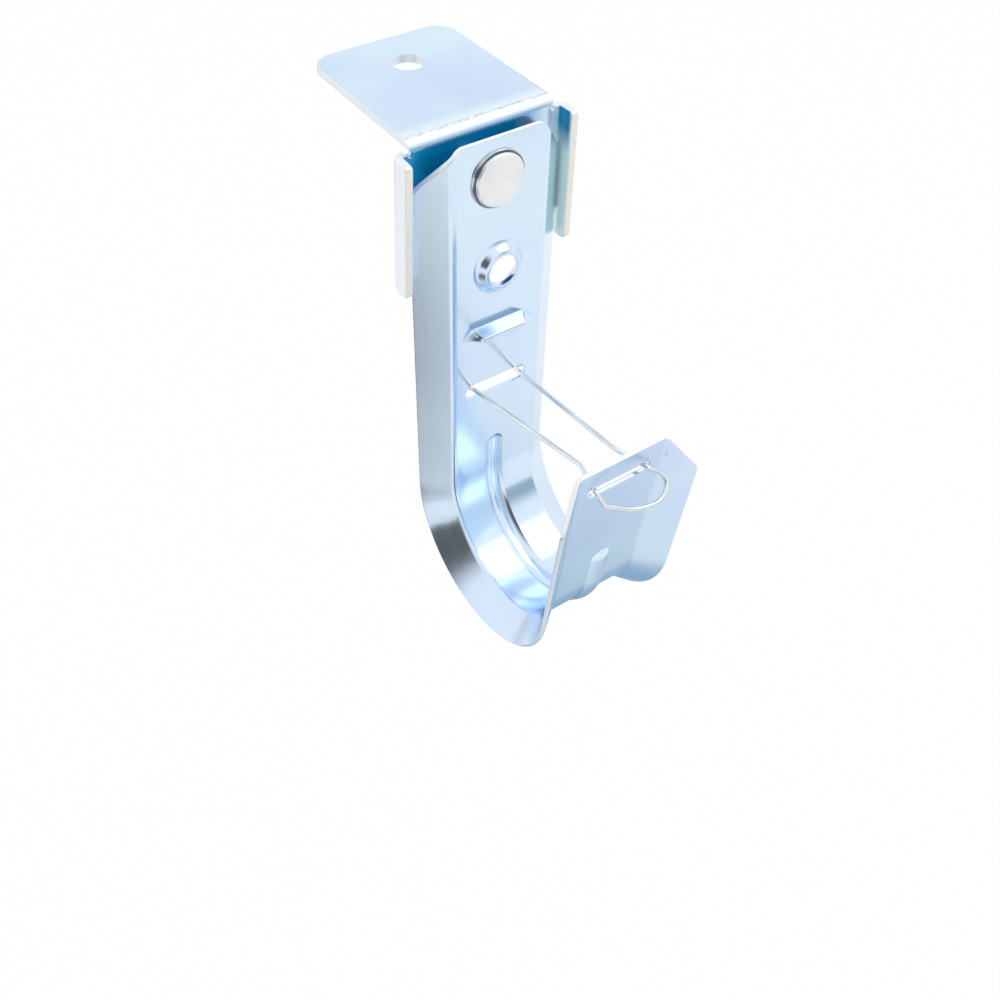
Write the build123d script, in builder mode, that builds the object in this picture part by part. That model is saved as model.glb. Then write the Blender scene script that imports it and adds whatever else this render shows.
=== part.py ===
from build123d import *
import os
from math import cos, radians, sin, tan

# A steel J-hook cable support: an angle bracket for the ceiling, a channel-section
# hook riveted to it, and a sprung wire retainer that closes the hook's mouth.
# Millimetres, +Z up, front towards -Y. The origin is the centre of the ceiling
# hole, on the top face of the bracket.

# Angle bracket
bracket_sheet = 2.0
flange_width = 38.0
flange_length = 45.2
flange_corner = 6.0
fold_inner = 0.6
ceiling_hole_diameter = 7.9
ceiling_hole_setback = 13.7
plate_bottom = 29.5
ear_bottom = 35.8
ear_reach = 4.5
ear_bend_inner = 0.6
ear_clearance = 0.45
ear_splay = 1.3
ear_corner = 0.8
ear_toe = 1.2
ear_heel = 4.5
relief_radius = 0.8

# Hook strip: a shallow channel, the same section in plate, bend and lip
hook_sheet = 1.2
hook_width = 41.0
panel_width = 26.0
flange_flare = 39.0
crease_radius = 3.0
hook_top = 0.5
bend_radius = 22.3
bend_drop = 101.0
lip_lean = 6.0
lip_length = 47.5
plate_corner_inset = 1.8
lip_corner_inset = 0.3
end_corner = 3.0
tip_corner = 1.0

# Openings and formed features on the hook's centre line
rivet_drop = 10.4
rivet_offset = -1.0
boss_drop = 34.0
boss_base_diameter = 13.2
boss_top_diameter = 9.8
boss_height = 2.2
boss_hole_diameter = 7.9
hood_drop = 52.2
hood_root = 2.3
hood_base_width = 21.2
hood_crown_width = 15.0
hood_edge_width = 12.0
hood_reach = 3.5
hood_slit = 0.5
slot_length = 18.6
plate_slot_drop = 70.2
plate_slot_height = 4.4
lip_slot_setback = 7.5
lip_slot_height = 3.0
rib_width = 6.4
rib_height = 1.2
rib_run = 9.3

# Rivet
rivet_rim_diameter = 14.2
rivet_rim_height = 0.65
rivet_face_diameter = 13.0
rivet_head_height = 1.5
rivet_rim_bevel = 0.25
rivet_face_bevel = 0.4
rivet_shank_diameter = 6.0
rivet_hole_clearance = 0.15
rivet_tail_diameter = 9.0
rivet_tail_height = 1.3

# Wire retainer, with its finger loop given sideways and down the loop's own plane
wire_diameter = 1.25
wire_facets = 10
wire_clearance = 0.15
wire_back_half = 7.0
wire_back_lift = 0.4
wire_foot_half = 11.0
wire_foot_bend = 1.0
wire_waist_half = 5.0
wire_waist_setback = 7.0
wire_waist_bend = 6.0
wire_slot_half = 7.6
wire_slot_bend = 0.9
loop_tilt = 41.0
loop_corners = [(-6.7, 3.7), (0.5, 8.0), (8.8, 9.2), (12.3, 3.8)]
loop_bends = [1.6, 12.0, 4.0, 3.0]

# Places that follow from the sizes above
hook_half = hook_width / 2
panel_half = panel_width / 2
flange_run = hook_half - panel_half
tip_depth = flange_run * tan(radians(flange_flare))
hook_depth = tip_depth + hook_sheet * cos(radians(flange_flare))
plate_y = ceiling_hole_setback - flange_length
panel_y = plate_y - hook_depth
bend_y = panel_y - bend_radius
fold_outer = fold_inner + bracket_sheet
ear_half = hook_half + ear_clearance
lean_cos = cos(radians(lip_lean))
lean_sin = sin(radians(lip_lean))
rib_arc = ((rib_width / 2) ** 2 + rib_height**2) / (2 * rib_height)
rib_y = panel_y + hook_sheet + rib_height - rib_arc
wire_radius = wire_diameter / 2
overshoot = 1.0


def lip_point(along, outward):
    """Y and Z on the lip: along it from the bend, outward from its inner face."""
    y = bend_y - (bend_radius + outward) * lean_cos - along * lean_sin
    z = -bend_drop - (bend_radius + outward) * lean_sin + along * lean_cos
    return y, z


def lip_plane(along):
    """A plane on the lip's inner face that faces forward, with its local Y up the lip."""
    origin = (0, *lip_point(along, 0))
    return Plane(origin=origin, x_dir=(1, 0, 0), z_dir=(0, -lean_cos, -lean_sin))


def panel_plane(drop):
    """A plane on the front face of the hook's panel, facing forward."""
    return Plane(origin=(0, panel_y, -drop), x_dir=(1, 0, 0), z_dir=(0, -1, 0))


def trim_end(plane, inset):
    """Cuts the two corners off one end of the strip, 45 degrees on the flat sheet."""
    start = panel_half - inset
    reach = hook_half + overshoot
    fall = inset + (reach - panel_half) / cos(radians(flange_flare))
    with BuildSketch(plane) as corner:
        with BuildLine():
            Polyline(
                (start - 2 * end_corner, overshoot),
                (start - 2 * end_corner, 0),
                (start, 0),
                (reach, -fall),
                (reach, overshoot),
                close=True,
            )
        make_face()
        fillet(corner.vertices().sort_by_distance((start, 0))[0], end_corner)
        mirror(about=Plane.YZ)
    extrude(corner.sketch, amount=2 * hook_depth, both=True, mode=Mode.SUBTRACT)


def rib_run_out(arc, floor_y, mode):
    """The rib's section, run up the plate, round the bend and up the lip, with domed ends."""
    bend_axis = Axis((0, bend_y, -bend_drop), (-1, 0, 0))
    with BuildSketch(Plane.XY.offset(-bend_drop)) as section:
        with Locations((0, rib_y)):
            Circle(arc)
        with Locations((0, floor_y)):
            Rectangle(2 * arc, 3 * arc, align=(Align.CENTER, Align.MAX), mode=Mode.SUBTRACT)
    with BuildSketch(Plane.XY.offset(-bend_drop)) as half:
        add(section.sketch)
        Rectangle(2 * arc, 9 * bend_radius, align=(Align.MAX, Align.CENTER), mode=Mode.SUBTRACT)
    dome = revolve(half.sketch, axis=Axis((0, 0, -bend_drop), (0, 1, 0)), mode=Mode.PRIVATE)
    trough = extrude(section.sketch, amount=rib_run, dir=(0, 0, 1), mode=Mode.PRIVATE)
    straight = trough + Pos(0, 0, rib_run) * dome
    turn = 180 - lip_lean
    middle = revolve(section.sketch, axis=bend_axis, revolution_arc=turn, mode=Mode.PRIVATE)
    other = straight.mirror(Plane.XY.offset(-bend_drop)).rotate(bend_axis, turn)
    add([straight, middle, other], mode=mode)


with BuildPart() as angle_bracket:
    # Top flange, fold and upright plate, as one folded strip
    with BuildSketch(Plane.YZ):
        with BuildLine():
            FilletPolyline(
                (ceiling_hole_setback, 0),
                (plate_y, 0),
                (plate_y, -plate_bottom),
                radius=fold_outer,
            )
            offset(amount=bracket_sheet, side=Side.LEFT, closed=True)
        make_face()
    extrude(amount=flange_width / 2, both=True)
    far_corners = angle_bracket.edges().filter_by(Axis.Z).group_by(Axis.Y)[-1]
    fillet(far_corners, flange_corner)
    # Ears bent forward from the plate's sides, which keep the hook from turning;
    # the left one is sprung a little outward at its foot
    for height, spread in ((-fold_outer, 0), (-ear_bottom, ear_splay)):
        left = -ear_half - bracket_sheet - spread
        right = ear_half + bracket_sheet
        with BuildSketch(Plane.XY.offset(height)):
            with BuildLine():
                FilletPolyline(
                    (left, plate_y - ear_reach),
                    (left, plate_y + bracket_sheet),
                    (right, plate_y + bracket_sheet),
                    (right, plate_y - ear_reach),
                    radius=ear_bend_inner + bracket_sheet,
                )
                offset(amount=bracket_sheet, side=Side.RIGHT, closed=True)
            make_face()
    loft(ruled=True)
    front_edges = angle_bracket.edges().group_by(Axis.Y)[0].group_by(Axis.Z)
    fillet(front_edges[-1], ear_corner)
    fillet(front_edges[0], ear_toe)
    # The plate stops short of the ears' feet, which are rounded off towards the back
    with BuildSketch(Plane.XZ.offset(-plate_y)):
        with Locations((0, -plate_bottom)):
            Rectangle(2 * ear_half, ear_bottom, align=(Align.CENTER, Align.MAX))
    extrude(amount=2 * ear_reach, both=True, mode=Mode.SUBTRACT)
    with BuildSketch(Plane.YZ):
        with Locations((plate_y + bracket_sheet - ear_heel, ear_heel - ear_bottom)):
            Rectangle(ear_heel + overshoot, ear_heel + overshoot, align=(Align.MIN, Align.MAX))
            Circle(ear_heel, mode=Mode.SUBTRACT)
    extrude(amount=hook_width, both=True, mode=Mode.SUBTRACT)
    # Relief notches where the fold meets the ears
    with BuildSketch(Plane.XZ.offset(-plate_y)):
        with Locations((flange_width / 2, -fold_outer), (-flange_width / 2, -fold_outer)):
            Circle(relief_radius)
    extrude(amount=2 * bracket_sheet, both=True, mode=Mode.SUBTRACT)
    with Locations((0, 0, 0)):
        Hole(ceiling_hole_diameter / 2, depth=2 * bracket_sheet)
    with Locations(Plane(origin=(rivet_offset, plate_y, -rivet_drop), z_dir=(0, -1, 0))):
        Hole(rivet_shank_diameter / 2 + rivet_hole_clearance, depth=2 * bracket_sheet)

with BuildPart() as j_hook:
    # The strip's channel section: a flat panel with two flanges flared away from
    # the cables, run up the plate, round the bend and up the lip
    with BuildSketch(Plane.XY.offset(-bend_drop)) as channel:
        with BuildLine():
            FilletPolyline(
                (-hook_half, panel_y + tip_depth),
                (-panel_half, panel_y),
                (panel_half, panel_y),
                (hook_half, panel_y + tip_depth),
                radius=crease_radius,
            )
            offset(amount=hook_sheet, side=Side.LEFT, closed=True)
        make_face()
    extrude(amount=bend_drop - hook_top)
    revolve(
        channel.sketch,
        axis=Axis((0, bend_y, -bend_drop), (-1, 0, 0)),
        revolution_arc=180 - lip_lean,
    )
    lip_start = j_hook.faces().filter_by(GeomType.PLANE).sort_by(Axis.Y)[0]
    extrude(lip_start, amount=lip_length)
    trim_end(panel_plane(hook_top), plate_corner_inset)
    trim_end(lip_plane(lip_length), lip_corner_inset)
    for side in (0, -1):
        for tip in j_hook.faces().filter_by(GeomType.PLANE).group_by(Axis.X)[side]:
            fillet(tip.edges().sort_by(Axis.Z)[-1], tip_corner)
    # Stiffening rib pressed outward along the middle of the bend
    rib_run_out(rib_arc, panel_y + hook_sheet / 2, Mode.ADD)
    rib_run_out(rib_arc - hook_sheet, panel_y - hook_sheet / 2, Mode.SUBTRACT)
    # Slots for the wire retainer
    with BuildSketch(panel_plane(plate_slot_drop)):
        SlotOverall(slot_length, plate_slot_height)
    extrude(amount=2 * hook_sheet, both=True, mode=Mode.SUBTRACT)
    with BuildSketch(lip_plane(lip_length - lip_slot_setback)):
        SlotOverall(slot_length, lip_slot_height)
    extrude(amount=2 * hook_sheet, both=True, mode=Mode.SUBTRACT)
    # Rivet hole
    with Locations(Pos(rivet_offset) * panel_plane(rivet_drop)):
        Hole(rivet_shank_diameter / 2 + rivet_hole_clearance, depth=2 * hook_sheet)
    # Extruded screw hole: a cone pushed forward out of the sheet
    with Locations(panel_plane(boss_drop)):
        Cone(
            boss_base_diameter / 2,
            boss_top_diameter / 2,
            boss_height,
            align=(Align.CENTER, Align.CENTER, Align.MIN),
        )
    with Locations(panel_plane(boss_drop).offset(-hook_sheet)):
        Cone(
            boss_base_diameter / 2 - hook_sheet / 2,
            boss_hole_diameter / 2,
            boss_height,
            align=(Align.CENTER, Align.CENTER, Align.MIN),
            mode=Mode.SUBTRACT,
        )
    with Locations(panel_plane(boss_drop).offset(boss_height)):
        Hole(boss_hole_diameter / 2, depth=boss_height + 2 * hook_sheet)
    # Lanced hood below it, open underneath
    hood_above = (Align.CENTER, Align.MIN)
    with BuildSketch(panel_plane(hood_drop)):
        with BuildLine():
            Polyline(
                (-hood_base_width / 2, 0),
                (hood_base_width / 2, 0),
                (hood_crown_width / 2, hood_root),
                (-hood_crown_width / 2, hood_root),
                close=True,
            )
        make_face()
    with BuildSketch(panel_plane(hood_drop).offset(hood_reach)):
        Rectangle(hood_edge_width, hook_sheet, align=hood_above)
    loft()
    hood_fall = (hood_root - hook_sheet) / hood_reach
    inner_base = hood_base_width - 2 * hook_sheet
    inner_height = hood_slit + hood_root - hook_sheet
    inner_reach = hood_reach - hook_sheet
    with BuildSketch(panel_plane(hood_drop + hood_slit).offset(-hook_sheet)):
        Rectangle(inner_base, inner_height + hook_sheet * hood_fall, align=hood_above)
    with BuildSketch(panel_plane(hood_drop + hood_slit).offset(inner_reach)):
        Rectangle(hood_edge_width, inner_height - inner_reach * hood_fall, align=hood_above)
    loft(mode=Mode.SUBTRACT)

with BuildPart() as rivet:
    # Stepped head at the front, shank through both sheets, upset tail at the back
    front = panel_y - rivet_head_height
    back = plate_y + bracket_sheet + rivet_tail_height
    with BuildSketch(Plane(origin=(rivet_offset, 0, -rivet_drop))):
        with BuildLine():
            Polyline(
                (0, front),
                (rivet_face_diameter / 2, front),
                (rivet_face_diameter / 2, panel_y - rivet_rim_height),
                (rivet_rim_diameter / 2, panel_y - rivet_rim_height),
                (rivet_rim_diameter / 2, panel_y),
                (rivet_shank_diameter / 2, panel_y),
                (rivet_shank_diameter / 2, plate_y + bracket_sheet),
                (rivet_tail_diameter / 2, plate_y + bracket_sheet),
                (rivet_tail_diameter / 2, back),
                (0, back),
                close=True,
            )
        make_face()
    revolve(axis=Axis((rivet_offset, 0, -rivet_drop), (0, 1, 0)))
    rings = rivet.edges().filter_by(GeomType.CIRCLE).group_by(Axis.Y)
    rim_edge = rings[1].sort_by(SortBy.RADIUS)[-1]
    chamfer([*rings[0], *rings[-1]], rivet_face_bevel)
    chamfer(rim_edge, rivet_rim_bevel)

with BuildPart() as wire_retainer:
    # One length of wire: a foot behind the plate, a leg through each slot, the loop
    slot_reach = lip_slot_height / 2 - wire_radius - wire_clearance
    slot_y, slot_z = lip_point(lip_length - lip_slot_setback + slot_reach, hook_sheet)
    back_z = wire_back_lift - plate_slot_drop
    foot_y = panel_y + hook_sheet + wire_radius + wire_clearance
    front_y = slot_y - wire_radius - wire_clearance
    waist_y = slot_y + hook_sheet + wire_waist_setback
    leg = [
        (wire_foot_half, foot_y, back_z),
        (wire_back_half, foot_y, back_z),
        (wire_waist_half, waist_y, slot_z),
        (wire_slot_half, front_y, slot_z),
    ]
    loop = [
        (x, front_y - down * sin(radians(loop_tilt)), slot_z - down * cos(radians(loop_tilt)))
        for x, down in loop_corners
    ]
    leg_bends = [wire_foot_bend, wire_waist_bend, wire_slot_bend]
    with BuildLine() as wire_path:
        FilletPolyline(
            *[(-x, y, z) for x, y, z in leg],
            *loop,
            *reversed(leg),
            radius=[*leg_bends, *loop_bends, *reversed(leg_bends)],
        )
    with BuildSketch(wire_path.line ^ 0):
        RegularPolygon(wire_radius, wire_facets)
    sweep()

os.makedirs("parts", exist_ok=True)
pieces = {
    "angle_bracket": angle_bracket,
    "j_hook": j_hook,
    "rivet": rivet,
    "wire_retainer": wire_retainer,
}
for name, piece in pieces.items():
    piece.part.label = name
    export_step(piece.part, f"parts/{name}.step")
print("wire length", round(sum(edge.length for edge in wire_path.edges()), 2))
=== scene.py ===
# %% [markdown]
# A J-shaped hook that hangs under a ceiling, in bright zinc-plated sheet steel.
# The solids come from the CAD model and are loaded first. Nothing that is added here
# may grow the object.

# %% Load the solids
from math import cos, radians, sin

import bpy
from mathutils import Matrix, Vector


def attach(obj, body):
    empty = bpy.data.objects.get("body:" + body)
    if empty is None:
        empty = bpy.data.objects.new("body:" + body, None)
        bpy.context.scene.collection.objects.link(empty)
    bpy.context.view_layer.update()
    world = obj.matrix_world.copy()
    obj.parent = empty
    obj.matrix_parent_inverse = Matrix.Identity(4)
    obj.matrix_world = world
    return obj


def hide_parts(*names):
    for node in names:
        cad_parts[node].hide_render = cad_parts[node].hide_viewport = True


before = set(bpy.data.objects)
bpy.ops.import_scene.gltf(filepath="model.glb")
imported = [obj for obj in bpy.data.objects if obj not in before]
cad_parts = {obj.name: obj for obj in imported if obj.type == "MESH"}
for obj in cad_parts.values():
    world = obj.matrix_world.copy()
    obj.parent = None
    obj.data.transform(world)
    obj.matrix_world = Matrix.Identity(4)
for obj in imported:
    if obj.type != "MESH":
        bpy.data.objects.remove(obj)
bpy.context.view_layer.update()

MM = 0.001
scene = bpy.context.scene
scene.view_settings.view_transform = "Standard"
print("solids:", sorted(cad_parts))

# %% [markdown]
# The camera stands in front of the hook, to its left and well above it, and is turned
# by a small roll. Its place was worked out from the corners and holes of the object, so
# that the drawn edges fall on the real ones. A camera looks along its own minus Z, so
# the matrix is written from its right, up and backward directions.

# %% Camera
camera_place = Vector((-0.13129, -0.22098, 0.12570))
lens_mm, sensor_mm = 41.226, 36
azimuth, elevation, roll = radians(-36.267), radians(46.948), radians(1.937)
backward = Vector((sin(azimuth) * cos(elevation), -cos(azimuth) * cos(elevation), sin(elevation)))
level = Vector((cos(azimuth), sin(azimuth), 0))
over = backward.cross(level)
right = cos(roll) * level + sin(roll) * over
upward = cos(roll) * over - sin(roll) * level
bpy.ops.object.camera_add()
camera = bpy.context.active_object
camera.name = "photo_camera"
camera.matrix_world = Matrix.LocRotScale(
    camera_place,
    Matrix((right, upward, backward)).transposed().to_quaternion(),
    None,
)
camera.data.sensor_width = sensor_mm
camera.data.lens = lens_mm
camera.data.clip_start = 0.01
scene.camera = camera
print("camera", round(camera.data.lens, 2), "mm lens")

# %% [markdown]
# The room and the metals are built from shader nodes. Three helpers keep that short: one
# adds a node with its values, one takes the greatest of several values, and one makes a
# soft dark patch round a point, which both the floor and the room use.

# %% Helpers for nodes


def add_node(tree, kind, **values):
    """Adds a node and sets its properties or, for names it lacks, its input sockets."""
    node = tree.nodes.new(kind)
    for key, value in values.items():
        if hasattr(node, key):
            setattr(node, key, value)
        else:
            node.inputs[key.replace("_", " ").title()].default_value = value
    return node


def greatest(tree, *sockets):
    """The greatest of several values."""
    most = sockets[0]
    for socket in sockets[1:]:
        step = add_node(tree, "ShaderNodeMath", operation="MAXIMUM")
        tree.links.new(most, step.inputs[0])
        tree.links.new(socket, step.inputs[1])
        most = step.outputs[0]
    return most


def soft_patch(tree, place, centre, near, far, dark):
    """A brightness that is dark within a distance of a point and rises to 1 beyond it."""
    away = add_node(tree, "ShaderNodeVectorMath", operation="DISTANCE")
    tree.links.new(place, away.inputs[0])
    away.inputs[1].default_value = centre
    rise = add_node(tree, "ShaderNodeMapRange", interpolation_type="SMOOTHSTEP")
    rise.inputs["From Min"].default_value = near
    rise.inputs["From Max"].default_value = far
    rise.inputs["To Min"].default_value = dark
    tree.links.new(away.outputs["Value"], rise.inputs["Value"])
    return rise.outputs["Result"]


print("helpers ready")

# %% [markdown]
# The hook hangs in plain white space. A large pale floor lies well below it. The lens
# sees the floor as pure white, while for light that falls on it the floor is an ordinary
# matt surface. Polished metal needs something darker to mirror as well, or it has no
# shape, so mirror rays see the white floor fall off in three soft patches: under the hook,
# to its left, and behind it. The lens doesn't see the patches themselves.

# %% Floor
bpy.ops.object.select_all(action="DESELECT")
floor_width, floor_depth = 12, 0.42
bpy.ops.mesh.primitive_plane_add(size=floor_width, location=(0, 0, -floor_depth))
floor = bpy.context.active_object
floor.name = "pale_floor"
floor_paint = bpy.data.materials.new("pale_floor_paint")
floor_paint.use_nodes = True
tree = floor_paint.node_tree
matt = tree.nodes["Principled BSDF"]
matt.inputs["Base Color"].default_value = (0.92, 0.92, 0.92, 1)
matt.inputs["Roughness"].default_value = 0.9
place = add_node(tree, "ShaderNodeTexCoord").outputs["Object"]
under = soft_patch(tree, place, centre=(0.065, -0.025, 0), near=0.05, far=0.40, dark=0.0)
beside = soft_patch(tree, place, centre=(-0.54, -0.16, 0), near=0.12, far=0.42, dark=0.15)
behind = soft_patch(tree, place, centre=(0.5, 1.5, 0), near=0.5, far=1.3, dark=0.5)
dimmed = add_node(tree, "ShaderNodeMath", operation="MULTIPLY")
tree.links.new(beside, dimmed.inputs[0])
tree.links.new(behind, dimmed.inputs[1])
path = add_node(tree, "ShaderNodeLightPath").outputs
plain = greatest(tree, path["Is Camera Ray"], path["Is Transmission Ray"])
mirrored = add_node(tree, "ShaderNodeMix", data_type="RGBA")
shade_blue, pure_white = (0.30, 0.45, 0.58, 1), (1, 1, 1, 1)
mirrored.inputs["A"].default_value = shade_blue
mirrored.inputs["B"].default_value = pure_white
tree.links.new(greatest(tree, plain, under), mirrored.inputs["Factor"])
white = add_node(tree, "ShaderNodeEmission")
tree.links.new(mirrored.outputs["Result"], white.inputs["Color"])
tree.links.new(greatest(tree, plain, dimmed.outputs[0]), white.inputs["Strength"])
seen = greatest(tree, path["Is Camera Ray"], path["Is Glossy Ray"], path["Is Transmission Ray"])
white_share = 0.96
share = add_node(tree, "ShaderNodeMath", operation="MULTIPLY")
share.inputs[1].default_value = white_share
tree.links.new(seen, share.inputs[0])
mix = add_node(tree, "ShaderNodeMixShader")
tree.links.new(share.outputs[0], mix.inputs["Fac"])
tree.links.new(matt.outputs[0], mix.inputs[1])
tree.links.new(white.outputs[0], mix.inputs[2])
tree.links.new(mix.outputs[0], tree.nodes["Material Output"].inputs["Surface"])
floor.data.materials.append(floor_paint)
print("floor at", round(floor.location.z, 3), "m")

# %% [markdown]
# Light comes from a pale room and three soft boxes. The room lights matt things at part
# strength. The lens sees it white, and mirror rays see it white with a shaded place at the
# left and one in front to the right, both near the horizon. The main box is wide and hangs
# high up on the right, where the round of the fold, the raised screw hole and the hood
# mirror it as bright bands. The other two light one side and the back, and mirror rays
# don't see them.

# %% Room and soft boxes
world = bpy.data.worlds.new("pale_room")
scene.world = world
world.use_nodes = True
room = world.node_tree
heading = add_node(room, "ShaderNodeTexCoord").outputs["Generated"]
left_side = soft_patch(room, heading, centre=(-0.88, -0.42, 0.2), near=0.25, far=0.75, dark=0.12)
front_side = soft_patch(room, heading, centre=(0.43, -0.88, 0.08), near=0.10, far=0.42, dark=0.0)
path = add_node(room, "ShaderNodeLightPath").outputs
plain = greatest(room, path["Is Camera Ray"], path["Is Transmission Ray"])
room_tint = add_node(room, "ShaderNodeMix", data_type="RGBA")
room_tint.inputs["A"].default_value = (0.36, 0.46, 0.54, 1)
room_tint.inputs["B"].default_value = pure_white
room.links.new(greatest(room, plain, front_side), room_tint.inputs["Factor"])
seen = greatest(room, plain, path["Is Glossy Ray"])
level_on_matt = 0.85
brightness = add_node(room, "ShaderNodeMix", data_type="FLOAT")
brightness.inputs["A"].default_value = level_on_matt
room.links.new(seen, brightness.inputs["Factor"])
room.links.new(greatest(room, plain, left_side), brightness.inputs["B"])
backdrop = room.nodes["Background"]
room.links.new(room_tint.outputs["Result"], backdrop.inputs["Color"])
room.links.new(brightness.outputs["Result"], backdrop.inputs["Strength"])

middle = Vector((0, -0.04, -0.055))


def soft_box(name, direction, distance, size, power, mirrored):
    """Adds a square lamp that faces the hook. One that isn't mirrored leaves the metal to the room."""
    bpy.ops.object.light_add(type="AREA", location=middle + Vector(direction).normalized() * distance)
    lamp = bpy.context.active_object
    lamp.name = name
    lamp.data.size = size
    lamp.data.energy = power
    lamp.visible_glossy = mirrored
    lamp.rotation_euler = (lamp.location - middle).to_track_quat("Z", "Y").to_euler()


soft_box("main_box", (0.45, -0.10, 0.87), distance=1.0, size=0.95, power=2.0, mirrored=True)
soft_box("side_box", (0.95, -0.25, 0.10), distance=1.1, size=0.6, power=0.6, mirrored=False)
soft_box("back_box", (-0.35, 0.90, 0.25), distance=1.1, size=0.8, power=0.6, mirrored=False)

# %% [markdown]
# Zinc plate on rolled sheet is never one flat colour. Soft clouds of tint come from the
# bath, a faint grain runs along the rolling direction, and there are fine rubs. One node
# group makes these for every piece, and the drawn wire takes only a trace of them. It puts
# out a tint between two colours, a roughness and a height, and each material sets its own
# values.

# %% Plating group
plating = bpy.data.node_groups.new("zinc_plating", "ShaderNodeTree")
for name, kind, default in (
    ("Pale", "NodeSocketColor", (0.70, 0.83, 0.95, 1)),
    ("Deep", "NodeSocketColor", (0.58, 0.72, 0.86, 1)),
    ("Cloud Size", "NodeSocketFloat", 45.0),
    ("Gloss", "NodeSocketFloat", 0.16),
    ("Rubbed", "NodeSocketFloat", 0.10),
):
    socket = plating.interface.new_socket(name, in_out="INPUT", socket_type=kind)
    socket.default_value = default
for name, kind in (
    ("Color", "NodeSocketColor"),
    ("Roughness", "NodeSocketFloat"),
    ("Height", "NodeSocketFloat"),
):
    plating.interface.new_socket(name, in_out="OUTPUT", socket_type=kind)

given = add_node(plating, "NodeGroupInput")
result = add_node(plating, "NodeGroupOutput")
place = add_node(plating, "ShaderNodeTexCoord")
clouds = add_node(plating, "ShaderNodeTexNoise", detail=3.0, roughness=0.5)
plating.links.new(place.outputs["Object"], clouds.inputs["Vector"])
plating.links.new(given.outputs["Cloud Size"], clouds.inputs["Scale"])
cloud_range = add_node(plating, "ShaderNodeMapRange", from_min=0.32, from_max=0.68)
plating.links.new(clouds.outputs["Fac"], cloud_range.inputs["Value"])
tint = add_node(plating, "ShaderNodeMix", data_type="RGBA")
plating.links.new(cloud_range.outputs["Result"], tint.inputs["Factor"])
plating.links.new(given.outputs["Pale"], tint.inputs["A"])
plating.links.new(given.outputs["Deep"], tint.inputs["B"])
plating.links.new(tint.outputs["Result"], result.inputs["Color"])
across_grain, along_grain = 900, 60
stretch = add_node(plating, "ShaderNodeMapping")
stretch.inputs["Scale"].default_value = (across_grain, along_grain, along_grain)
plating.links.new(place.outputs["Object"], stretch.inputs["Vector"])
grain = add_node(plating, "ShaderNodeTexNoise", scale=1.0, detail=4.0)
plating.links.new(stretch.outputs["Vector"], grain.inputs["Vector"])
fine = add_node(plating, "ShaderNodeTexNoise", scale=2600.0, detail=2.0)
plating.links.new(place.outputs["Object"], fine.inputs["Vector"])
rub = add_node(plating, "ShaderNodeMath", operation="MULTIPLY")
plating.links.new(grain.outputs["Fac"], rub.inputs[0])
plating.links.new(given.outputs["Rubbed"], rub.inputs[1])
rough = add_node(plating, "ShaderNodeMath", operation="ADD")
plating.links.new(rub.outputs[0], rough.inputs[0])
plating.links.new(given.outputs["Gloss"], rough.inputs[1])
plating.links.new(rough.outputs[0], result.inputs["Roughness"])
relief = add_node(plating, "ShaderNodeMath", operation="ADD")
plating.links.new(grain.outputs["Fac"], relief.inputs[0])
plating.links.new(fine.outputs["Fac"], relief.inputs[1])
plating.links.new(relief.outputs[0], result.inputs["Height"])
print("group", plating.name, "has", len(plating.nodes), "nodes")

# %% [markdown]
# Some places on a piece look different from the rest: raw cut ends, painted shade in the
# recess behind the hook, a face painted whiter as painted light. A second group finds
# such a place from the piece's own coordinates. It is 1 inside a box and fades to 0
# towards its sides, and each side has its own length of fade.

# %% Place mask group
place_mask = bpy.data.node_groups.new("place_mask", "ShaderNodeTree")
for name, default in (("Low", (-1, -1, -1)), ("High", (1, 1, 1))):
    socket = place_mask.interface.new_socket(name, in_out="INPUT", socket_type="NodeSocketVector")
    socket.default_value = default
for name in ("Low Fade", "High Fade"):
    socket = place_mask.interface.new_socket(name, in_out="INPUT", socket_type="NodeSocketVector")
    socket.default_value = (0.001, 0.001, 0.001)
place_mask.interface.new_socket("Mask", in_out="OUTPUT", socket_type="NodeSocketFloat")
given = add_node(place_mask, "NodeGroupInput")
result = add_node(place_mask, "NodeGroupOutput")
place = add_node(place_mask, "ShaderNodeTexCoord")
inside = None
for end, first, second in (("Low", "here", "end"), ("High", "end", "here")):
    gap = add_node(place_mask, "ShaderNodeVectorMath", operation="SUBTRACT")
    sides = {"here": place.outputs["Object"], "end": given.outputs[end]}
    place_mask.links.new(sides[first], gap.inputs[0])
    place_mask.links.new(sides[second], gap.inputs[1])
    apart = add_node(place_mask, "ShaderNodeSeparateXYZ")
    place_mask.links.new(gap.outputs[0], apart.inputs[0])
    fades = add_node(place_mask, "ShaderNodeSeparateXYZ")
    place_mask.links.new(given.outputs[end + " Fade"], fades.inputs[0])
    for axis in "XYZ":
        step = add_node(place_mask, "ShaderNodeMath", operation="DIVIDE", use_clamp=True)
        place_mask.links.new(apart.outputs[axis], step.inputs[0])
        place_mask.links.new(fades.outputs[axis], step.inputs[1])
        if inside is None:
            inside = step
            continue
        least = add_node(place_mask, "ShaderNodeMath", operation="MINIMUM")
        place_mask.links.new(inside.outputs[0], least.inputs[0])
        place_mask.links.new(step.outputs[0], least.inputs[1])
        inside = least
place_mask.links.new(inside.outputs[0], result.inputs["Mask"])
print("group", place_mask.name, "has", len(place_mask.nodes), "nodes")

# %% [markdown]
# All four materials start in the same way: a metal shader is fed by the plating group and
# has a very shallow bump. They differ in tint, gloss and relief, and the wire has no
# relief. Two more helpers lay a value over part of a material and find that part by its
# place on the piece.

# %% Plated metal


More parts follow.
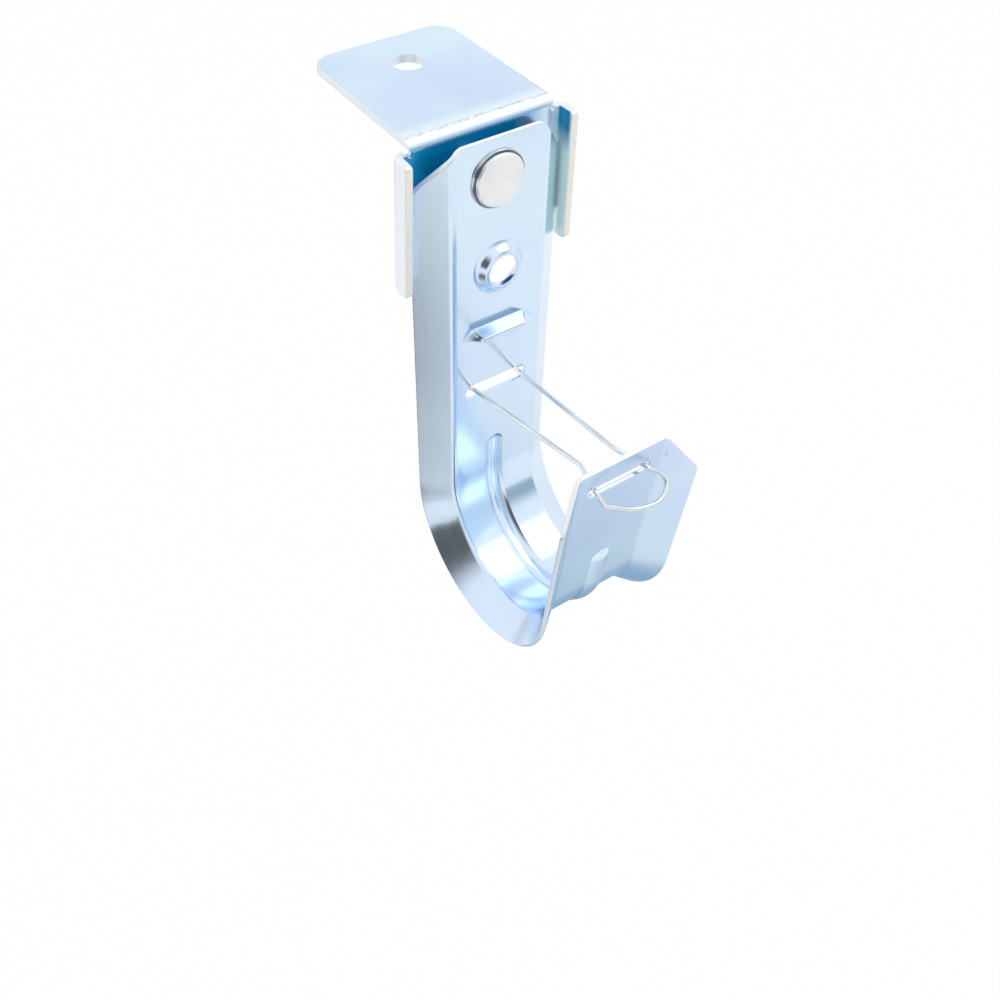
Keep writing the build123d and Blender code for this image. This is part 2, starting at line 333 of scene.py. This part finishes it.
def plated(name, pale, deep, cloud_size, gloss, rubbed, relief_mm):
    """A bright metal with the plating's clouds, grain and rubs. Returns the material and its shader."""
    material = bpy.data.materials.new(name)
    material.use_nodes = True
    tree = material.node_tree
    shader = tree.nodes["Principled BSDF"]
    shader.inputs["Metallic"].default_value = 1.0
    coat = add_node(tree, "ShaderNodeGroup", node_tree=plating)
    coat.inputs["Pale"].default_value = (*pale, 1)
    coat.inputs["Deep"].default_value = (*deep, 1)
    coat.inputs["Cloud Size"].default_value = cloud_size
    coat.inputs["Gloss"].default_value = gloss
    coat.inputs["Rubbed"].default_value = rubbed
    tree.links.new(coat.outputs["Color"], shader.inputs["Base Color"])
    tree.links.new(coat.outputs["Roughness"], shader.inputs["Roughness"])
    bump = add_node(tree, "ShaderNodeBump", strength=0.35)
    bump.inputs["Distance"].default_value = relief_mm * MM
    tree.links.new(coat.outputs["Height"], bump.inputs["Height"])
    tree.links.new(bump.outputs["Normal"], shader.inputs["Normal"])
    return material, shader


def lay_over(tree, shader, socket, mask, value):
    """Mixes a value, or another socket's value, over what a shader's socket has, by a mask."""
    target = shader.inputs[socket]
    kind = "RGBA" if target.type == "RGBA" else "FLOAT"
    mix = add_node(tree, "ShaderNodeMix", data_type=kind)
    ends = [s for s in mix.inputs if s.name in ("A", "B") and s.type == target.type]
    if target.links:
        tree.links.new(target.links[0].from_socket, ends[0])
    else:
        ends[0].default_value = target.default_value
    if isinstance(value, bpy.types.NodeSocket):
        tree.links.new(value, ends[1])
    else:
        ends[1].default_value = value
    tree.links.new(mask, mix.inputs["Factor"])
    mixed = [s for s in mix.outputs if s.type == target.type]
    tree.links.new(mixed[0], target)


def find_place(tree, low_mm, high_mm, low_fade_mm, high_fade_mm):
    """A mask for one place on a piece, given in millimetres."""
    mask = add_node(tree, "ShaderNodeGroup", node_tree=place_mask)
    mask.inputs["Low"].default_value = [v * MM for v in low_mm]
    mask.inputs["High"].default_value = [v * MM for v in high_mm]
    mask.inputs["Low Fade"].default_value = [v * MM for v in low_fade_mm]
    mask.inputs["High Fade"].default_value = [v * MM for v in high_fade_mm]
    return mask.outputs["Mask"]


bracket_zinc, bracket_shader = plated(
    "bracket_bright_zinc",
    pale=(0.70, 0.87, 0.97),
    deep=(0.60, 0.72, 0.94),
    cloud_size=26.0,
    gloss=0.17,
    rubbed=0.10,
    relief_mm=0.012,
)
hook_zinc, hook_shader = plated(
    "hook_bright_zinc",
    pale=(0.73, 0.88, 0.98),
    deep=(0.65, 0.77, 0.97),
    cloud_size=26.0,
    gloss=0.13,
    rubbed=0.10,
    relief_mm=0.008,
)
rivet_zinc, rivet_shader = plated(
    "rivet_satin_zinc",
    pale=(0.90, 0.91, 0.92),
    deep=(0.82, 0.83, 0.85),
    cloud_size=160.0,
    gloss=0.26,
    rubbed=0.15,
    relief_mm=0.02,
)
wire_steel = plated(
    "drawn_wire_steel",
    pale=(0.86, 0.89, 0.90),
    deep=(0.74, 0.78, 0.80),
    cloud_size=220.0,
    gloss=0.15,
    rubbed=0.03,
    relief_mm=0.0,
)[0]
print("materials:", bracket_zinc.name, hook_zinc.name, rivet_zinc.name, wire_steel.name)

# %% [markdown]
# The passivate that follows the zinc bath is blue. The deep blue in the recess between
# the fold and the hook, and at the top of the right ear's inner side, is painted shade:
# there the colour turns to a streaky deep blue and the metal shows through less. The rest
# of that inner side is painted lighter and greener, as painted light. The outer side of
# the left ear is painted nearly white, as painted light.

# %% Deep blue in the recess
tree = bracket_zinc.node_tree
shade_streak_stretch = add_node(tree, "ShaderNodeMapping")
across_shade_streak, down_shade_streak = 90, 420
shade_streak_stretch.inputs["Scale"].default_value = (across_shade_streak, across_shade_streak, down_shade_streak)
tree.links.new(add_node(tree, "ShaderNodeTexCoord").outputs["Object"], shade_streak_stretch.inputs["Vector"])
streaks = add_node(tree, "ShaderNodeTexNoise", scale=1.0, detail=2.0)
tree.links.new(shade_streak_stretch.outputs["Vector"], streaks.inputs["Vector"])
blues = add_node(tree, "ShaderNodeMix", data_type="RGBA")
blues.inputs["A"].default_value = (0.0, 0.19, 0.40, 1)
blues.inputs["B"].default_value = (0.0, 0.42, 0.82, 1)
tree.links.new(streaks.outputs["Fac"], blues.inputs["Factor"])
painted_shade_blue = blues.outputs["Result"]
# Painted shade: the recess between the fold and the hook is painted a streaky deep blue.
recess = find_place(
    tree,
    low_mm=(-21.2, -33, -30),
    high_mm=(17, -30.4, -1.5),
    low_fade_mm=(0.3, 0.3, 1),
    high_fade_mm=(9, 0.3, 0.9),
)
lay_over(tree, bracket_shader, "Base Color", recess, painted_shade_blue)
lay_over(tree, bracket_shader, "Metallic", recess, 0.25)
# Painted light: the right ear's inner side sits in a shaded place and is painted lighter and greener.
ear_inner_painted_light = find_place(
    tree,
    low_mm=(18.0, -35.9, -40),
    high_mm=(21.5, -31, -1),
    low_fade_mm=(1.0, 0.1, 1),
    high_fade_mm=(0.2, 0.4, 1),
)
lay_over(tree, bracket_shader, "Base Color", ear_inner_painted_light, (0.84, 0.97, 0.93, 1))
lay_over(tree, bracket_shader, "Roughness", ear_inner_painted_light, 0.33)
lay_over(tree, bracket_shader, "Metallic", ear_inner_painted_light, 0.45)
# Painted shade: the top of the right ear's inner side is painted deep blue.
ear_top_painted_shade = find_place(
    tree,
    low_mm=(20.4, -35.7, -13),
    high_mm=(21.5, -31, -1),
    low_fade_mm=(0.2, 0.8, 6),
    high_fade_mm=(0.2, 0.5, 1),
)
lay_over(tree, bracket_shader, "Base Color", ear_top_painted_shade, painted_shade_blue)
lay_over(tree, bracket_shader, "Metallic", ear_top_painted_shade, 0.3)
# Painted light: the left ear's outer side is painted nearly white.
left_ear_painted_light = find_place(
    tree,
    low_mm=(-30, -36, -40),
    high_mm=(-22.5, -29, 0),
    low_fade_mm=(1, 0.2, 1),
    high_fade_mm=(0.4, 1, 1),
)
lay_over(tree, bracket_shader, "Base Color", left_ear_painted_light, (0.85, 0.885, 0.94, 1))
print("recess tinted in", bracket_zinc.name)

# %% [markdown]
# The ears show their sheared ends to the front. Sheared steel is coarser than rolled
# steel and takes the plating duller and warmer, so those ends are a satin cream with a
# fine, uneven grain.

# %% Sheared ends of the ears
sheared = find_place(
    tree,
    low_mm=(-30, -38, -40),
    high_mm=(30, -35.7, 2),
    low_fade_mm=(0.5, 0.5, 0.5),
    high_fade_mm=(0.5, 0.15, 0.5),
)
torn = add_node(tree, "ShaderNodeTexNoise", scale=1900.0, detail=3.0)
tree.links.new(add_node(tree, "ShaderNodeTexCoord").outputs["Object"], torn.inputs["Vector"])
torn_tint = add_node(tree, "ShaderNodeMix", data_type="RGBA")
torn_tint.inputs["A"].default_value = (0.80, 0.80, 0.70, 1)
torn_tint.inputs["B"].default_value = (1.0, 1.0, 0.95, 1)
tree.links.new(torn.outputs["Fac"], torn_tint.inputs["Factor"])
lay_over(tree, bracket_shader, "Base Color", sheared, torn_tint.outputs["Result"])
lay_over(tree, bracket_shader, "Metallic", sheared, 0.35)
lay_over(tree, bracket_shader, "Roughness", sheared, 0.42)
print("sheared ends in", bracket_zinc.name)

# %% [markdown]
# Where the flange starts to bend, a band is painted paler as a painted highlight of the
# fold. The press leaves a narrow line of small dents there, which breaks up the edge of
# the bright band. The dents are longer along the fold than across it. They are painted
# darker as painted shade, and they are taken off the height that the bump has.

# %% Creases along the fold
place = add_node(tree, "ShaderNodeTexCoord").outputs["Object"]
fold_painted_highlight = find_place(
    tree,
    low_mm=(-19.5, -31, -2),
    high_mm=(19.5, -25, 1),
    low_fade_mm=(0.5, 0.5, 0.5),
    high_fade_mm=(0.5, 4.0, 0.5),
)
# Painted highlight: the band beside the fold is painted paler.
lay_over(tree, bracket_shader, "Base Color", fold_painted_highlight, (0.84, 0.94, 1.0, 1))
creased = find_place(
    tree,
    low_mm=(-19, -29.8, -2),
    high_mm=(19, -28.4, 1),
    low_fade_mm=(0.5, 0.5, 0.5),
    high_fade_mm=(0.5, 0.4, 0.5),
)
drawn_out = add_node(tree, "ShaderNodeMapping")
along_fold, across_fold = 560, 1500
drawn_out.inputs["Scale"].default_value = (along_fold, across_fold, across_fold)
tree.links.new(place, drawn_out.inputs["Vector"])
ripple = add_node(tree, "ShaderNodeTexNoise", scale=1.0, detail=3.0)
tree.links.new(drawn_out.outputs["Vector"], ripple.inputs["Vector"])
dents = add_node(tree, "ShaderNodeMapRange", from_min=0.40, from_max=0.60)
tree.links.new(ripple.outputs["Fac"], dents.inputs["Value"])
crease = add_node(tree, "ShaderNodeMath", operation="MULTIPLY")
tree.links.new(creased, crease.inputs[0])
tree.links.new(dents.outputs["Result"], crease.inputs[1])
# Painted shade: the dents in the crease are painted darker; the bump below is their real relief.
lay_over(tree, bracket_shader, "Base Color", crease.outputs[0], (0.58, 0.69, 0.79, 1))
deeper = add_node(tree, "ShaderNodeMath", operation="MULTIPLY_ADD")
dent_depth = 7.0
deeper.inputs[1].default_value = -dent_depth
bump = bracket_shader.inputs["Normal"].links[0].from_node
before = bump.inputs["Height"].links[0].from_socket
tree.links.new(crease.outputs[0], deeper.inputs[0])
tree.links.new(before, deeper.inputs[2])
tree.links.new(deeper.outputs[0], bump.inputs["Height"])
print("creases added to", bracket_zinc.name)

# %% [markdown]
# The cut rims of the sheets are bare of the blue and scatter the light, so they look
# whiter than the faces, and part of that whiteness is a painted highlight. They can't be
# found by a box, so the faces that are cut rims carry a number called cut_rim, and the two
# sheet materials read it. The number is 1 on the trimmed ends, which face up and are
# painted whitest as a painted highlight, and less on the other rims.

# %% Cut rims in the sheet materials
for material, shader in ((bracket_zinc, bracket_shader), (hook_zinc, hook_shader)):
    tree = material.node_tree
    rim = add_node(tree, "ShaderNodeAttribute", attribute_name="cut_rim")
    # The rims' whiter colour is partly their bare satin finish and partly a painted highlight.
    lay_over(tree, shader, "Base Color", rim.outputs["Fac"], (0.93, 0.96, 0.97, 1))
    lay_over(tree, shader, "Roughness", rim.outputs["Fac"], 0.34)
    lay_over(tree, shader, "Metallic", rim.outputs["Fac"], 0.25)
print("cut rims read by", bracket_zinc.name, "and", hook_zinc.name)

# %% [markdown]
# The rivet's face is struck flat and satin. Its stepped rim is turned and glossier, and
# it is painted darker than the face as painted shade; the step is painted darker still, as
# painted shade in its crease.

# %% Rivet rim
tree = rivet_zinc.node_tree
rim_gloss_and_painted_shade = find_place(
    tree,
    low_mm=(-10, -39.62, -20),
    high_mm=(10, -30, 0),
    low_fade_mm=(1, 0.12, 1),
    high_fade_mm=(1, 1, 1),
)
# Painted shade: the rim is painted darker than the face; its lower roughness is real gloss.
lay_over(tree, rivet_shader, "Base Color", rim_gloss_and_painted_shade, (0.66, 0.69, 0.72, 1))
lay_over(tree, rivet_shader, "Roughness", rim_gloss_and_painted_shade, 0.10)
step_painted_shade = find_place(
    tree,
    low_mm=(-10, -39.36, -20),
    high_mm=(10, -39.02, 0),
    low_fade_mm=(1, 0.1, 1),
    high_fade_mm=(1, 0.1, 1),
)
# Painted shade: the step between face and rim is painted nearly black.
lay_over(tree, rivet_shader, "Base Color", step_painted_shade, (0.16, 0.18, 0.20, 1))
print("rim in", rivet_zinc.name)

# %% [markdown]
# A sheared sheet has edges that are slightly rolled over, and on bright metal these
# catch the light. The solids have sharp edges, so each sheet piece and the rivet are shown
# by a copy: loose triangles are merged, flat areas are cleaned into single faces, and
# edges are rounded. The solid itself stays as it is and is hidden.

# %% Helpers for shown copies
smooth_below = radians(40)


def take(piece):
    """Selects one piece alone and makes it the active one."""
    bpy.ops.object.select_all(action="DESELECT")
    piece.select_set(True)
    bpy.context.view_layer.objects.active = piece


def merged_copy(node, name):
    """A copy of a CAD piece with its loose triangles merged and flat areas cleaned."""
    piece = bpy.data.objects.new(name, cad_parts[node].data.copy())
    scene.collection.objects.link(piece)
    take(piece)
    bpy.ops.object.mode_set(mode="EDIT")
    bpy.ops.mesh.select_all(action="SELECT")
    bpy.ops.mesh.customdata_custom_splitnormals_clear()
    bpy.ops.mesh.remove_doubles(threshold=0.002 * MM)
    bpy.ops.mesh.dissolve_limited(angle_limit=radians(0.3))
    bpy.ops.object.mode_set(mode="OBJECT")
    return piece


def mark_rims(piece, rim_share):
    """Gives each face how much of a cut rim it is, by its middle in mm and its normal."""
    rims = piece.data.attributes.new("cut_rim", "FLOAT", "FACE")
    for face, mark in zip(piece.data.polygons, rims.data):
        mark.value = rim_share(face.center / MM, face.normal)
    print(piece.name, "has", sum(m.value > 0 for m in rims.data), "rim faces")


def show(piece, node, material):
    """Shades a piece and shows it in place of a CAD node."""
    take(piece)
    bpy.ops.object.shade_smooth_by_angle(angle=smooth_below)
    flat = piece.modifiers.new("flat_stays_flat", "WEIGHTED_NORMAL")
    flat.keep_sharp = True
    flat.weight = 100
    bpy.ops.object.modifier_apply(modifier=flat.name)
    piece.data.materials.clear()
    piece.data.materials.append(material)
    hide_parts(node)
    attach(piece, "root")
    print(piece.name, "has", len(piece.data.polygons), "faces")


print("smooth below", round(smooth_below, 2), "rad")

# %% [markdown]
# Edges are rounded in two ways. Chosen edges are found by a test on their end points, and
# each choice has its own width. All the other sharp edges of a piece can then be rolled
# over together by a narrow bevel, but for the places that a test leaves alone.

# %% Helpers for edges


def start_picking(piece):
    """Goes into a piece's edges with none of them selected."""
    take(piece)
    bpy.ops.object.mode_set(mode="EDIT")
    bpy.ops.mesh.select_mode(type="EDGE")
    bpy.ops.mesh.select_all(action="DESELECT")


def bevel_picked(width_mm, segments, clamp):
    """Bevels the selected edges of the active piece."""
    bpy.ops.object.mode_set(mode="EDIT")
    bpy.ops.mesh.bevel(
        offset=width_mm * MM,
        segments=segments,
        affect="EDGES",
        clamp_overlap=clamp,
    )
    bpy.ops.object.mode_set(mode="OBJECT")


def round_edges(piece, chosen, width_mm, segments, clamp=True):
    """Rounds the edges whose two end points, in millimetres, satisfy a test."""
    start_picking(piece)
    bpy.ops.object.mode_set(mode="OBJECT")
    points = [v.co / MM for v in piece.data.vertices]
    picked = [e for e in piece.data.edges if chosen(*[points[i] for i in e.vertices])]
    for edge in picked:
        edge.select = True
    bevel_picked(width_mm, segments, clamp)
    print(piece.name, "rounds", len(picked), "edges by", width_mm, "mm")


def roll_edges(piece, roll_mm, left_alone=None):
    """Rolls over the sharp edges of a piece, but for those whose middle a test leaves alone."""
    start_picking(piece)
    bpy.ops.mesh.edges_select_sharp(sharpness=radians(50))
    bpy.ops.object.mode_set(mode="OBJECT")
    points = [v.co / MM for v in piece.data.vertices]
    picked = [e for e in piece.data.edges if e.select]
    for edge in picked:
        first, second = edge.vertices
        if left_alone and left_alone((points[first] + points[second]) / 2):
            edge.select = False
    bevel_picked(roll_mm, segments=2, clamp=False)
    print(piece.name, "rolls sharp edges by", roll_mm, "mm")


print("edge helpers ready")

# %% [markdown]
# On the bracket, the flange's outline catches the most light, so its upper edge is rounded
# widest and its lower edge less. The front edges of the two ears are rounded a little too.
# The small notches beside the fold have no room for a bevel, and the edges there stay
# sharp.

# %% Bracket
bracket_sheet, fold_y = 2.0, -28.9
hole_clear = 5.0
ear_x, ear_front_y, ear_end_width = 20.0, -34.5, 1.4
bracket_rim_share = 0.75


def bracket_rim(c, n):
    """The flange's rim, and the upper and lower ends of the plate and the ears."""
    flange_rim = c.z > -bracket_sheet - 0.01 and abs(n.z) < 0.1 and c.y > fold_y + 0.4
    plate_end = c.z < -bracket_sheet - 0.2 and abs(n.z) > 0.9
    return bracket_rim_share * (flange_rim or plate_end)


def flange_outline(level_mm):
    """A test for the edges of the flange's outline, on its top or its underside."""

    def on(v):
        return abs(v.z - level_mm) < 0.01 and v.y > fold_y - 0.3 and v.xy.length > hole_clear

    return lambda p, q: on(p) and on(q) and max(p.y, q.y) > fold_y + 0.9


def ear_fronts(p, q):
    """A test for the long edges at the front of the ears, and not for those across the sheet."""
    at_front = all(abs(v.x) > ear_x and v.y < ear_front_y for v in (p, q))
    return at_front and abs(p.x - q.x) < ear_end_width


bracket = merged_copy("angle_bracket", "ceiling_bracket")
mark_rims(bracket, bracket_rim)
round_edges(bracket, flange_outline(0), width_mm=0.75, segments=4, clamp=False)
round_edges(bracket, flange_outline(-bracket_sheet), width_mm=0.3, segments=2, clamp=False)
round_edges(bracket, ear_fronts, width_mm=0.35, segments=3, clamp=False)
show(bracket, "angle_bracket", bracket_zinc)

# %% [markdown]
# The rivet is turned and then struck, which leaves every edge a little soft. All of its
# sharp edges get the same narrow roll.

# %% Rivet
rivet = merged_copy("rivet", "flat_rivet")
roll_edges(rivet, roll_mm=0.12)
show(rivet, "rivet", rivet_zinc)

# %% [markdown]
# The hook's strip was cut from sheet, and its cut rims are marked: fully at the two
# trimmed ends, and less at the tips of the flanges. Where the lip's trimmed end meets the
# tips, its two corners are rounded off.

# %% Hook's rims and corners
hook = merged_copy("j_hook", "cable_hook")
lip_corner_x, lip_front_y, lip_corner_z = 19.0, -85.0, -66.0
tip_share, end_share = 0.45, 1.0


def hook_rim(c, n):
    """Tips of the flanges, and the two trimmed ends of the strip."""
    flange_tip = abs(c.x) > 15 and abs(n.x) > 0.70
    panel_corner = c.z > -25
    lip_corner = c.z > -75 and c.y < -80
    cut_off = (panel_corner or lip_corner) and abs(c.x) > 9 and n.z > 0.4
    panel_end = c.z > -1
    lip_end = c.z > -58 and c.y < lip_front_y
    square_end = (panel_end or lip_end) and n.z > 0.9
    # The full share on the upward-facing trimmed ends is partly a painted highlight.
    return end_share if cut_off or square_end else tip_share * flange_tip


def at_lip_corner(p, q):
    """A test for the short edges where the lip's trimmed end meets the tips of its flanges."""
    return all(
        abs(v.x) > lip_corner_x and v.y < lip_front_y and abs(v.z - lip_corner_z) < 2.5
        for v in (p, q)
    )


mark_rims(hook, hook_rim)
round_edges(hook, at_lip_corner, width_mm=1.0, segments=4)

# %% [markdown]
# The raised screw hole is drawn out of the sheet with a punch, so it has no hard corners:
# it flows out of the panel, rounds over at the top and turns into the hole. The hood below
# it flows out of the panel in the same way. Those edges are picked by their place and get
# wider rounds. Then the rest of the piece is rolled, but not the hood, whose side walls
# run out to nothing and leave no room for it.

# %% Hook with soft pressings
panel_y, hole_z, hood_z = -38.506, -34.0, -52.2
boss_top_y = panel_y - 2.2
hood_root_z = hood_z + 2.3
hood_root = (7.5, panel_y, hood_root_z)
hood_front = (6.0, panel_y - 3.5, hood_z + 1.2)


def on_ring(radius, y):
    """A test for edges on a ring round the screw hole's axis."""

    def on(p):
        away = (p.x**2 + (p.z - hole_z) ** 2) ** 0.5
        return abs(away - radius) < 0.08 and abs(p.y - y) < 0.05

    return lambda p, q: on(p) and on(q)


def on_shoulder(side):
    """A test for the hood's left or right shoulder edge, by the places of its two ends."""
    ends = [Vector((side * x, y, z)) for x, y, z in (hood_root, hood_front)]
    return lambda p, q: all(min((v - end).length for v in (p, q)) < 0.05 for end in ends)


def on_hood_root(p, q):
    """A test for the line where the hood leaves the panel."""
    return all(abs(v.y - panel_y) < 0.02 and abs(v.z - hood_root_z) < 0.02 for v in (p, q))


def in_hood(middle):
    """A test for places in the hood, and not on the lip in front of it."""
    return abs(middle.x) < 12 and abs(middle.z - hood_z) < 3.5 and middle.y > -45


round_edges(hook, on_ring(4.9, boss_top_y), width_mm=0.6, segments=4)
round_edges(hook, on_ring(6.6, panel_y), width_mm=0.9, segments=4)
round_edges(hook, on_shoulder(-1), width_mm=0.7, segments=4)
round_edges(hook, on_shoulder(1), width_mm=0.7, segments=4)
round_edges(hook, on_hood_root, width_mm=2.0, segments=8)
roll_edges(hook, roll_mm=0.24, left_alone=in_hood)
show(hook, "j_hook", hook_zinc)

# %% [markdown]
# The retainer is one length of spring wire: two legs, mirror images of each other, and a
# finger loop between them. Its line is drawn as a chain of points, one at each corner. The
# corners are those that the solid's wire has. The loop's own corners are given sideways
# and down the plane that the loop lies in.

# %% Wire retainer
leg = [
    (11.0, -36.531, -69.8),
    (7.0, -36.531, -69.8),
    (5.0, -80.234, -62.955),
    (7.6, -89.209, -62.955),
]
loop_down = [(-6.7, 3.7), (0.5, 8.0), (8.8, 9.2), (12.3, 3.8)]
tilt = radians(41)
exit_y, exit_z = leg[-1][1:]
loop = [(x, exit_y - down * sin(tilt), exit_z - down * cos(tilt)) for x, down in loop_down]
route = [(-x, y, z) for x, y, z in leg] + loop + leg[::-1]

bpy.ops.object.select_all(action="DESELECT")
bpy.ops.mesh.primitive_plane_add()
wire = bpy.context.active_object
wire.name = "spring_wire"
bpy.ops.object.mode_set(mode="EDIT")
bpy.ops.mesh.select_mode(type="VERT")
bpy.ops.mesh.select_all(action="SELECT")
bpy.ops.mesh.merge(type="CENTER")
bpy.ops.transform.translate(value=Vector(route[0]) * MM)
for before, after in zip(route, route[1:]):
    bpy.ops.mesh.extrude_region_move(
        TRANSFORM_OT_translate={"value": (Vector(after) - Vector(before)) * MM}
    )
bpy.ops.object.mode_set(mode="OBJECT")
print("wire route of", len(wire.data.vertices), "points")

# %% [markdown]
# Wire is bent round pins, so each corner has a bend of its own: tight at the feet and
# where the legs come through the lip's slot, and wider at the legs' waist and on the loop.
# The points are bevelled one by one, and the line then becomes a round tube. Its radius
# lies between the flats and the corners of the solid's ten-sided wire.

# %% Round the wire's corners
wire_radius = 0.605
leg_bends = [1.0, 6.0, 0.9]
loop_bends = [2.2, 14.0, 5.0, 3.4]
bends = leg_bends + loop_bends + leg_bends[::-1]
steps_per_bend = 10


def pick_point(piece, spot_mm):
    """Selects the vertex of a piece that is nearest to a spot."""
    bpy.ops.object.mode_set(mode="EDIT")
    bpy.ops.mesh.select_mode(type="VERT")
    bpy.ops.mesh.select_all(action="DESELECT")
    bpy.ops.object.mode_set(mode="OBJECT")
    near = min(piece.data.vertices, key=lambda v: (v.co - Vector(spot_mm) * MM).length)
    near.select = True
    bpy.ops.object.mode_set(mode="EDIT")


for corner, before, after, bend in zip(route[1:-1], route, route[2:], bends):
    inward = Vector(before) - Vector(corner)
    outward = Vector(after) - Vector(corner)
    turn = radians(180) - inward.angle(outward)
    pick_point(wire, corner)
    bpy.ops.mesh.bevel(
        offset=bend * sin(turn / 2) / cos(turn / 2) * MM,
        segments=steps_per_bend,
        affect="VERTICES",
    )
    bpy.ops.object.mode_set(mode="OBJECT")
bpy.ops.object.convert(target="CURVE")
wire = bpy.context.active_object
wire.data.bevel_depth = wire_radius * MM
wire.data.bevel_resolution = 5
wire.data.use_fill_caps = True
bpy.ops.object.convert(target="MESH")
wire = bpy.context.active_object
bpy.ops.object.shade_smooth_by_angle(angle=smooth_below)
wire.data.materials.clear()
wire.data.materials.append(wire_steel)
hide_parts("wire_retainer")
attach(wire, "root")
print("wire has", len(wire.data.polygons), "faces")
